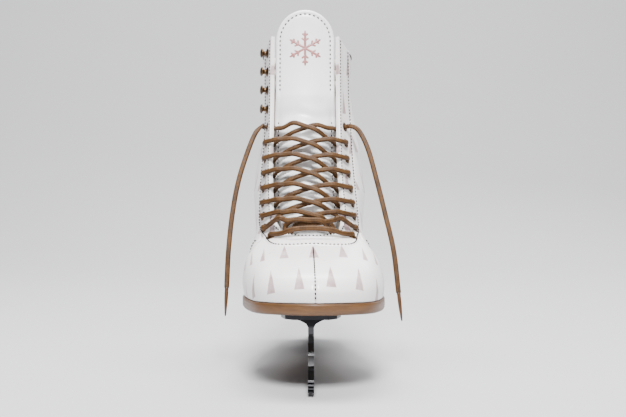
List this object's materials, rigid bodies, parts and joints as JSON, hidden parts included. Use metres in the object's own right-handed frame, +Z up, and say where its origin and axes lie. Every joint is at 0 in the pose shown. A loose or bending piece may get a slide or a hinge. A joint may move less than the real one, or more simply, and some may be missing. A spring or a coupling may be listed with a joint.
{
  "type": "figure skate",
  "caption": "Laced leather figure skate boot with a brown sole and heel and a steel blade with a toe pick, for gliding and jumping on ice.",
  "frame": {"origin": "on the blade's running edge, under the middle of the boot", "axes": "+Z up, toe towards -Y, +X towards the inner side of the foot"},
  "size_m": [0.1372, 0.2788, 0.2853],
  "materials": {
    "white_leather": "smooth glossy white leather with a pale rose print",
    "lining_leather": "soft cream lining leather",
    "stiffener": "stiff leatherboard",
    "padding": "padded cloth-faced foam",
    "sole_leather": "brown burnished sole leather",
    "heel_rubber": "dark heel lift",
    "chrome_steel": "polished blade steel",
    "plate_steel": "dark plated steel",
    "bronze": "dark bronze",
    "screw_steel": "bright screw steel",
    "brown_lace": "waxed woven cord",
    "lace_tip": "tapered lace tip"
  },
  "bodies": {
    "boot": {"aglet_left": "lace_tip", "aglet_right": "lace_tip", "backstay": "white_leather", "blade_runner": "chrome_steel", "collar_padding": "padding", "eyelet_left_1": "bronze", "eyelet_left_2": "bronze", "eyelet_left_3": "bronze", "eyelet_left_4": "bronze", "eyelet_left_5": "bronze", "eyelet_left_6": "bronze", "eyelet_left_7": "bronze", "eyelet_left_8": "bronze", "eyelet_left_9": "bronze", "eyelet_right_1": "bronze", "eyelet_right_2": "bronze", "eyelet_right_3": "bronze", "eyelet_right_4": "bronze", "eyelet_right_5": "bronze", "eyelet_right_6": "bronze", "eyelet_right_7": "bronze", "eyelet_right_8": "bronze", "eyelet_right_9": "bronze", "facing_left": "white_leather", "facing_right": "white_leather", "footbed": "padding", "front_stanchion": "chrome_steel", "heel_block": "sole_leather", "heel_cap": "heel_rubber", "heel_counter": "stiffener", "heel_plate": "plate_steel", "heel_screw_1": "screw_steel", "heel_screw_2": "screw_steel", "heel_screw_3": "screw_steel", "heel_screw_4": "screw_steel", "insole_board": "stiffener", "lace": "brown_lace", "lace_end_left": "brown_lace", "lace_end_right": "brown_lace", "lace_hook_1": "bronze", "lace_hook_2": "bronze", "lace_hook_3": "bronze", "lace_hook_4": "bronze", "lining": "lining_leather", "outsole": "sole_leather", "quarter_left": "white_leather", "quarter_right": "white_leather", "rear_stanchion": "chrome_steel", "sole_plate": "plate_steel", "sole_screw_1": "screw_steel", "sole_screw_2": "screw_steel", "sole_screw_3": "screw_steel", "sole_screw_4": "screw_steel", "sole_screw_5": "screw_steel", "toe_puff": "stiffener", "tongue_lower": "white_leather", "vamp_left": "white_leather", "vamp_right": "white_leather"},
    "tongue": {"tongue_upper": "white_leather"}
  },
  "joints": [
    {"name": "tongue_flex", "type": "hinge", "parent": "boot", "child": "tongue", "pos_m": [-0.0048, 0.014, 0.206], "axis": [1, 0, 0], "range_deg": [-6, 35]}
  ]
}
